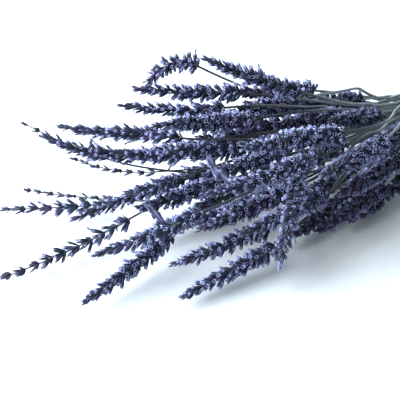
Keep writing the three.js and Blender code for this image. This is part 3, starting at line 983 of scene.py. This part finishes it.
def spike_tree(shapes, scale, felt, bark):
    """A flower spike along a line."""
    g, given = geometry_graph(
        "lavender_spike",
        (
            "Whorl spacing", "Calyx length", "Calyx width", "Lean", "Lean spread", "Rise", "Gathering",
            "Tip room", "Fold", "Rachis width", "In flower", "Buds", "Tone",
        ),
        ("Calyces in a whorl", "Seed"),
    )
    axis = g.node("GeometryNodeMeshToCurve", Mesh=given["Geometry"])
    whorls = whorls_along(g, given, axis)
    growth = g.field("growth", "FLOAT_VECTOR")
    forward = g.node("FunctionNodeAlignRotationToVector", {"axis": "Z"}, Vector=growth)
    fold = 1 - given["Fold"] * g.field("height") ** 4
    calyces = calyces_on(g, given, whorls, forward, fold, shapes)
    leaves = scales_under(g, given, whorls, forward, fold, growth, scale)
    crowd = g.node("GeometryNodeJoinGeometry", Geometry=[calyces, leaves])
    crowd = g.coated(g.node("GeometryNodeRealizeInstances", Geometry=crowd), felt)
    rachis = rachis_through(g, given, axis, bark)
    whole = g.node("GeometryNodeJoinGeometry", Geometry=[rachis, crowd])

    # What would reach through the table is pressed flat on it
    place = g.split(g.node("GeometryNodeInputPosition"))
    height = place.out("Z")
    pressed = g.math("MAXIMUM", height, height * PRESSED_SHARE + PRESSED_LIFT)
    flat = g.vector(place.out("X"), place.out("Y"), pressed)
    return finish_graph(g, g.node("GeometryNodeSetPosition", Geometry=whole, Position=flat))


def check_settling(stem, points):
    """Stops if a spike's line doesn't run through the solid that it stands for."""
    low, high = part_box(f"spike_{stem.number + 1:02d}")
    for axis in range(3):
        outside = max(low[axis] - points[:, axis].min(), points[:, axis].max() - high[axis])
        if outside > SETTLING_ERROR:
            raise RuntimeError(f"spike {stem.number + 1} settled {outside / MM:.1f} mm outside its solid")


def painted_shade(stem):
    """How much painted shade a spike gets, from 0 to 1: those nearest the band get the most."""
    middle = np.mean(stem.line[stem.base:], axis=0)
    unshaded_to, deepest_from = SHADE_SPAN
    return min(max((middle[0] - unshaded_to) / (deepest_from - unshaded_to), 0), 1)


class LAVENDER_OT_flower_spikes(bpy.types.Operator):
    """Grow a flower spike on the line of each settled stem"""

    bl_idname = "lavender.flower_spikes"
    bl_label = "Flower spikes"

    def execute(self, context):
        look = context.scene.lavender_spikes
        shapes = bpy.data.collections.new("calyx_shapes")
        calyces = [open_calyx(), closed_bud(), flowering_calyx()]
        for shape in calyces:
            shapes.objects.link(shape)
        scale = bract()
        tree = spike_tree(shapes, scale, felted_calyx(look), shared_stem_material(context))
        for stem in settled_stems():
            self.grow_spike(stem, tree, look)
        for shape in (*calyces, scale):
            bpy.data.objects.remove(shape)
        bpy.data.collections.remove(shapes)
        return {"FINISHED"}

    @staticmethod
    def grow_spike(stem, tree, look):
        habit = stem.habit
        points = in_frame(stem.line[stem.base:])
        check_settling(stem, points)
        uneven = scatter(stem.number * 3 + 1)
        calyces = habit.calyces * look.crowding * (1 + CALYCES_SPREAD * uneven)
        name = f"spike_{stem.number + 1:02d}"
        piece = grow(f"flower_{name}", [points], tree, {
            "Whorl spacing": habit.spacing * MM * (1 - SPACING_SPREAD * uneven),
            "Calyces in a whorl": max(FEWEST_CALYCES, nearest_whole(calyces)),
            "Calyx length": habit.length * MM * look.calyx_size,
            "Calyx width": habit.width * MM * look.calyx_size,
            "Lean": math.radians(habit.lean),
            "Lean spread": math.radians(habit.lean_spread),
            "Rise": habit.rise * MM,
            "Gathering": habit.gathering,
            "Tip room": habit.tip_room * MM,
            "Fold": habit.fold,
            "Rachis width": look.rachis_width * habit.stem,
            "In flower": look.flowering,
            "Buds": look.buds * habit.closed,
            # The tone of a spike: a random spread, less painted shade on the spikes nearest the band
            "Tone": SPIKE_TONE_SPREAD * scatter(stem.number * 7 + 2) - SHADE_DEPTH * painted_shade(stem),
            "Seed": look.seed + stem.number,
        })
        attach(piece, name)


# Shrivelled flowers and leaves that stand out of the spikes


# One row each: the spike it grows on, how far along that spike its root is, as a share, how far its
# tip lies from its root in x, y and z, how far its middle bends aside, its width, its lobes, and how
# pale it is.
WITHERED = (
    (5, 0.34, (-5.0, 11.5, 10.4), 1.0, 3.4, 1, 0.35),
    (5, 0.34, (-2.4, 9.6, 10.8), -1.0, 3.0, 1, 0.3),
    (19, 0.72, (-6.2, 13.1, 11.3), -1.6, 6.2, 3, 0.62),
    (23, 0.5, (1.0, -5.5, -6.4), 2.4, 3.0, 2, 0.75),
    (24, 0.92, (-2.7, -2.0, -8.5), 0.3, 2.8, 1, 1.0),
    (37, 0.92, (-2.0, -3.5, -5.0), 0.6, 4.4, 1, 0.3),
    (7, 0.66, (3.7, 1.5, 6.1), 0.3, 1.4, 1, 0.8),
)
WITHERED_SEED = 40
WITHERED_STEPS = 16
WITHERED_SIDES = 8
WITHERED_WAIST = 0.3  # half width between two lobes, as a share of the widest
WITHERED_DEPTH = 0.45  # thickness, as a share of the width
WITHERED_SWAY = 0.06  # how far a ring lies aside, as a share of the width
LOBE_START = 0.04  # how much of the first lobe the root cuts off, as a share
LOBE_ROUNDING = 0.7
ROOT_WIDTH = 0.3  # as a share, and how fast it widens from there
ROOT_WIDENING = 3
TIP_WIDTH = 0.2
TIP_WIDENING = 5
WITHERED_TWIST = 0.9  # from root to tip, in radians
WITHERED_TWIST_JITTER = 0.25
CRUMPLES = (0.7, 1.2)  # the least and the most that a point of a ring stands out, as shares
WITHERED_FACING = Vector((-0.53, -0.68, 0.5))  # the side to which the flat of it is turned


def withered_rings(root, reach, bend, width, lobes, seed):
    """Rings of points along a bent, flattened and crumpled tube, from its root to its tip."""
    draw = random.Random(seed)
    along = reach.normalized()
    across = along.cross(WITHERED_FACING).normalized()
    out = along.cross(across)
    rings = []
    for step in range(WITHERED_STEPS):
        share = step / WITHERED_STEPS
        centre = root + reach * share + across * bend * math.sin(math.pi * share)
        centre += across * width * draw.uniform(-WITHERED_SWAY, WITHERED_SWAY)
        swell = abs(math.sin(math.pi * (lobes * share + LOBE_START))) ** LOBE_ROUNDING
        ends = min(1, ROOT_WIDTH + share * ROOT_WIDENING)
        ends *= min(1, TIP_WIDTH + (1 - share) * TIP_WIDENING)
        half = width / 2 * (WITHERED_WAIST + (1 - WITHERED_WAIST) * swell) * ends
        twist = share * WITHERED_TWIST + draw.uniform(-WITHERED_TWIST_JITTER, WITHERED_TWIST_JITTER)
        cos, sin = math.cos(twist), math.sin(twist)
        points = []
        for k in range(WITHERED_SIDES):
            angle = 2 * math.pi * k / WITHERED_SIDES
            crumple = draw.uniform(*CRUMPLES)
            u = half * crumple * math.cos(angle)
            v = half * crumple * math.sin(angle) * WITHERED_DEPTH
            points.append(centre + across * (u * cos - v * sin) + out * (u * sin + v * cos))
        rings.append(points)
    rings.append([root + reach])
    return rings


class LAVENDER_OT_withered_flowers(bpy.types.Operator):
    """Set the long shrivelled flowers and leaves that stand out of the spikes"""

    bl_idname = "lavender.withered_flowers"
    bl_label = "Shrivelled flowers"

    def execute(self, context):
        felt = bpy.data.materials.get("felted_calyx")
        if felt is None:
            raise RuntimeError("the flower spikes come first")
        stems = settled_stems()
        for number, (spike, share, reach, bend, width, lobes, paleness) in enumerate(WITHERED, 1):
            stem = stems[spike - 1]
            line = in_frame(stem.line[stem.base:])
            root = Vector(line[round(share * (len(line) - 1))])
            sizes = Vector(reach) * MM, bend * MM, width * MM
            rings = withered_rings(root, *sizes, lobes, WITHERED_SEED + number)
            piece = shape_mesh(f"shrivelled_flower_{number}", rings, [{"petal": paleness}] * len(rings))
            context.scene.collection.objects.link(piece)
            piece.data.materials.append(felt)
            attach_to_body(piece, BODY)
        return {"FINISHED"}


# Stems


STEM_SEED = 11
STEM_SIDES = 16
STEM_CORNERS = 4
SECTION_RADIUS = 0.56  # of the circle that is pressed into the square section, one unit across its flats
SQUARENESS = 0.13
STEM_TURN = 0.6  # radians either way
STEM_TWIST = 3.0  # radians to a metre
JOINT_SPACING = 130 * MM
JOINT_SHIFT = 0.5  # either way, as a share of the spacing
JOINT_LIMIT = 0.985  # how near the top of a wave a stem begins to swell
JOINT_SWELL = 0.16
TAIL_STEPS = 24
CUT_SHARE = 0.004  # where the second point of a tail lies, so that the pale of the cut ends there
GRIP_SHARES = (0.25, 0.5, 0.75)  # where points lie inside the band


def stem_tree(bark):
    """Square stems with rounded corners along lines, thinner towards the spike, with swollen joints."""
    g, given = geometry_graph("lavender_stems", ("Stem width", "Taper", "Joint spacing"), ("Seed",))
    parameter = g.node("GeometryNodeSplineParameter")
    along, way = parameter.out("Length"), parameter.out("Factor")
    lines = g.node("GeometryNodeMeshToCurve", Mesh=given["Geometry"])
    lines = g.store(lines, "along", along)
    lines = g.store(lines, "tone", g.draw(given["Seed"], 1), domain="CURVE")
    tone = g.field("tone")
    lines = g.node("GeometryNodeSetCurveTilt", Curve=lines, Tilt=tone * STEM_TURN + along * STEM_TWIST)
    places = along / given["Joint spacing"] + tone * JOINT_SHIFT
    joint = g.ramp(g.math("COSINE", places * (2 * math.pi)), JOINT_LIMIT, 1.0)
    width = given["Stem width"] * (1 - given["Taper"] * way) * (1 + joint * JOINT_SWELL)

    # The section: a square with rounded corners and hollow sides
    circle = {"Resolution": STEM_SIDES, "Radius": SECTION_RADIUS}
    section = g.node("GeometryNodeCurvePrimitiveCircle", **circle)
    place = g.node("GeometryNodeInputPosition")
    parts = g.split(place)
    angle = g.math("ARCTAN2", parts.out("Y"), parts.out("X"))
    squared = place * (1 + g.math("COSINE", angle * STEM_CORNERS + math.pi) * SQUARENESS)
    section = g.node("GeometryNodeSetPosition", Geometry=section, Position=squared)
    section = g.store(section, "side", place, "FLOAT_VECTOR")
    rods = g.node(
        "GeometryNodeCurveToMesh",
        Curve=lines,
        Profile_Curve=section,
        Scale=width * (1 - (1 - g.field("thickness")) * way),
        Fill_Caps=True,
    )
    rods = g.node("GeometryNodeRealizeInstances", Geometry=rods)
    return finish_graph(g, g.coated(rods, bark))


def stem_line(stem):
    """A stem from its cut end, through the band, to the base of its spike, in millimetres."""
    y, z = stem.place
    end = np.array((
        TAIL_LENGTH + TAIL_SCATTER * scatter(stem.number),
        y * TAIL_SPREAD + TAIL_SWAY * scatter(stem.number * 3),
        STEM_REACH + CLEARANCE + (z - LOWEST_LAYER) * TAIL_SPREAD,
    ))
    grip = np.array((GRIP_LENGTH, y, z))
    tail = [end, end + (grip - end) * CUT_SHARE]
    for k in range(1, TAIL_STEPS + 1):
        share = k / TAIL_STEPS
        point = end + (grip - end) * share
        ease = share**3
        point[1:] = point[1:] * (1 - ease) + grip[1:] * ease
        tail.append(point)
    inside = [grip + (stem.line[0] - grip) * share for share in GRIP_SHARES]
    return tail + inside + list(stem.line[:stem.base + 1])


class LAVENDER_OT_stems(bpy.types.Operator):
    """Grow the stems, one piece for each layer of them at the band"""

    bl_idname = "lavender.stems"
    bl_label = "Stems"

    def execute(self, context):
        look = context.scene.lavender_stems
        tree = stem_tree(shared_stem_material(context))
        for layer in range(len(STEMS_ABREAST)):
            stems = [stem for stem in settled_stems() if stem.layer == layer]
            lines = [in_frame(stem_line(stem)) for stem in stems]
            piece = grow(f"stem_layer_{layer + 1}", lines, tree, {
                "Stem width": look.width,
                "Taper": look.taper,
                "Joint spacing": JOINT_SPACING,
                "Seed": STEM_SEED + layer,
            }, {"thickness": [stem.habit.stem for stem in stems]})
            attach(piece, f"stems_{layer + 1}")
        return {"FINISHED"}


# The elastic


TURNS = 3
STRAND_CORNERS = 3  # points round each corner of a strand's section
STRAND_ROUNDING = 0.38  # as a share of its thickness
STRAND_GAP = 0.1
WINDING_START = math.radians(60)
WINDING_STEPS = 120  # in one turn of the elastic
HULL_STEP = math.radians(1.5)
HULL_STEPS = 40  # to each side, when the tightest line round the stems is sought

# Where the strands change places, in degrees of a turn: the first turn crosses to the other side, the
# second moves to the middle and climbs on the others, and the third moves back to the start and comes down.
FIRST_CROSSING = (318, 346)
SECOND_CROSSING = (302, 328)
CLIMB = (300, 322)
THIRD_CROSSING = (284, 306)
DESCENT = (340, 360)


def hull_distance(points, angle, offset):
    """How far a line drawn tight round points, at an offset, lies from their middle at an angle."""
    nearest = math.inf
    for step in range(-HULL_STEPS, HULL_STEPS + 1):
        turn = step * HULL_STEP
        facing = np.array((math.cos(angle + turn), math.sin(angle + turn)))
        nearest = min(nearest, (np.max(points @ facing) + offset) / math.cos(turn))
    return nearest


def smooth_step(stretch, value):
    """From 0 before a stretch to 1 after it, smoothly."""
    low, high = stretch
    share = min(max((value - low) / (high - low), 0), 1)
    return share * share * (3 - 2 * share)


def strand_place(turn, degrees, half):
    """Where a strand lies across the band, and on which layer, as the elastic goes round three times.

    Two turns lie side by side, the third on top of both, and they change places near the end of a turn.
    """
    if turn == 0:
        return -half + 2 * half * smooth_step(FIRST_CROSSING, degrees), 0.0
    if turn == 1:
        return half - half * smooth_step(SECOND_CROSSING, degrees), smooth_step(CLIMB, degrees)
    return -half * smooth_step(THIRD_CROSSING, degrees), 1 - smooth_step(DESCENT, degrees)


def strand_section(width, thickness):
    """The rounded section of a strand, counter-clockwise."""
    radius = thickness * STRAND_ROUNDING
    points = []
    for corner, (u, v) in enumerate(((1, -1), (1, 1), (-1, 1), (-1, -1))):
        for k in range(STRAND_CORNERS):
            angle = math.radians(-90 + corner * 90 + 90 * k / (STRAND_CORNERS - 1))
            across = u * (width / 2 - radius) + radius * math.cos(angle)
            out = v * (thickness / 2 - radius) + radius * math.sin(angle)
            points.append((across, out))
    return points


class LAVENDER_OT_band(bpy.types.Operator):
    """Wind the elastic three times round the stems"""

    bl_idname = "lavender.band"
    bl_label = "Elastic"

    def execute(self, context):
        look = context.scene.lavender_band
        width = look.strand_width / MM
        places = np.array([(y, z) for y, z, _ in band_places()])
        middle = places.mean(axis=0)
        thickness = (places[:, 1].min() - STEM_WIDTH / 2) / 2  # two layers fit between stems and table
        section = strand_section(width, thickness)
        build = bmesh.new()
        rows = []
        for turn in range(TURNS):
            for k in range(WINDING_STEPS):
                degrees = 360 * k / WINDING_STEPS
                across, layer = strand_place(turn, degrees, (width + STRAND_GAP) / 2)
                angle = WINDING_START + math.radians(degrees)
                facing = np.array((math.cos(angle), math.sin(angle)))
                reach = STEM_WIDTH / 2 + thickness * (0.5 + layer)
                tight = hull_distance(places - middle, angle, reach)
                row = []
                for u, v in section:
                    spot = middle + facing * (tight + v)
                    row.append(build.verts.new(in_frame((across + u, spot[0], spot[1]))))
                rows.append(row)
        for row, after in zip(rows, rows[1:] + rows[:1]):
            for k in range(len(row)):
                n = (k + 1) % len(row)
                build.faces.new((row[k], row[n], after[n], after[k])).smooth = True
        bmesh.ops.recalc_face_normals(build, faces=build.faces)
        piece = add_object("elastic", mesh_of("elastic", build))
        piece.data.materials.append(rubber(look))
        attach(piece, "band")
        return {"FINISHED"}


# Table, light and camera


TABLE_HALF = 3.0  # half the table's side, in metres
WINDOW_AIM = (-170, 0, 20)  # in millimetres from the band's foot, as the camera's aim is
WINDOW_PLACE = (-0.68, 0.43, 0.62)  # from there, in metres: beyond the tips, far side, above
WINDOW_SIZE = (1.6, 1.2)
CAMERA_AIM = (-190, -18, 20)
SENSOR_WIDTH = 36  # as the lens, in millimetres
NEAREST_SEEN = 10 * MM


def face_back(thing, direction):
    """Turns the back of a light or a camera to a direction, so that it faces away from it."""
    thing.rotation_euler = direction.to_track_quat("Z", "Y").to_euler()


class LAVENDER_OT_stage(bpy.types.Operator):
    """Lay the table and set the light and the camera"""

    bl_idname = "lavender.stage"
    bl_label = "Stage"

    def execute(self, context):
        look = context.scene.lavender_stage
        self.lay_table(look)
        self.set_light(context.scene, look)
        self.set_camera(context.scene, look)
        context.scene.view_settings.view_transform = "Standard"
        return {"FINISHED"}

    @staticmethod
    def lay_table(look):
        half = TABLE_HALF
        mesh = bpy.data.meshes.new("table")
        corners = [(-half, -half, 0), (half, -half, 0), (half, half, 0), (-half, half, 0)]
        mesh.from_pydata(corners, [], [(0, 1, 2, 3)])
        mesh.materials.append(pale_table(look))
        table = add_object("table", mesh)

    @staticmethod
    def set_light(scene, look):
        world = bpy.data.worlds.new("soft_daylight")
        world.use_nodes = True
        world.node_tree.nodes.clear()
        g = Graph(world.node_tree)
        colour = (*look.sky_colour, 1)
        sky = g.node("ShaderNodeBackground", Color=colour, Strength=look.sky_strength)
        g.node("ShaderNodeOutputWorld", Surface=sky)
        scene.world = world
        window = bpy.data.lights.new("window", "AREA")
        window.shape = "RECTANGLE"
        window.size, window.size_y = WINDOW_SIZE
        window.energy = look.window_power
        window.color = look.window_colour
        lamp = add_object("window", window)
        target = Vector(in_frame(WINDOW_AIM))
        lamp.location = target + Vector(WINDOW_PLACE)
        face_back(lamp, lamp.location - target)

    @staticmethod
    def set_camera(scene, look):
        level = math.cos(look.elevation)
        forward = Vector((
            math.sin(look.azimuth) * level,
            math.cos(look.azimuth) * level,
            -math.sin(look.elevation),
        ))
        lens = bpy.data.cameras.new("camera")
        lens.lens = look.lens
        lens.sensor_width = SENSOR_WIDTH
        lens.clip_start = NEAREST_SEEN
        camera = add_object("camera", lens)
        camera.location = Vector(in_frame(CAMERA_AIM)) - forward * look.distance
        face_back(camera, -forward)
        scene.camera = camera


class LAVENDER_PT_bunch(bpy.types.Panel):
    """Everything that dresses the bunch"""

    bl_label = "Lavender"
    bl_idname = "LAVENDER_PT_bunch"
    bl_space_type = "VIEW_3D"
    bl_region_type = "UI"
    bl_category = "Lavender"

    def draw(self, context):
        for operator, group in OPERATORS.items():
            box = self.layout.box()
            if group:
                settings = getattr(context.scene, group)
                for name in settings.__annotations__:
                    box.prop(settings, name)
            box.operator(operator.bl_idname)


OPERATORS = {
    LAVENDER_OT_stage: "lavender_stage",
    LAVENDER_OT_stems: "lavender_stems",
    LAVENDER_OT_flower_spikes: "lavender_spikes",
    LAVENDER_OT_withered_flowers: None,
    LAVENDER_OT_band: "lavender_band",
}
SETTINGS = {
    "lavender_spikes": LavenderSpikeSettings,
    "lavender_stems": LavenderStemSettings,
    "lavender_band": LavenderBandSettings,
    "lavender_stage": LavenderStageSettings,
}
CLASSES = (*SETTINGS.values(), *OPERATORS, LAVENDER_PT_bunch)


def register():
    for cls in CLASSES:
        bpy.utils.register_class(cls)
    for name, group in SETTINGS.items():
        setattr(bpy.types.Scene, name, PointerProperty(type=group))


def unregister():
    for name in SETTINGS:
        delattr(bpy.types.Scene, name)
    for cls in reversed(CLASSES):
        bpy.utils.unregister_class(cls)


def main():
    register()
    bpy.ops.lavender.stage()
    bpy.ops.lavender.stems()
    bpy.ops.lavender.flower_spikes()
    bpy.ops.lavender.withered_flowers()
    bpy.ops.lavender.band()


if __name__ == "__main__":
    main()
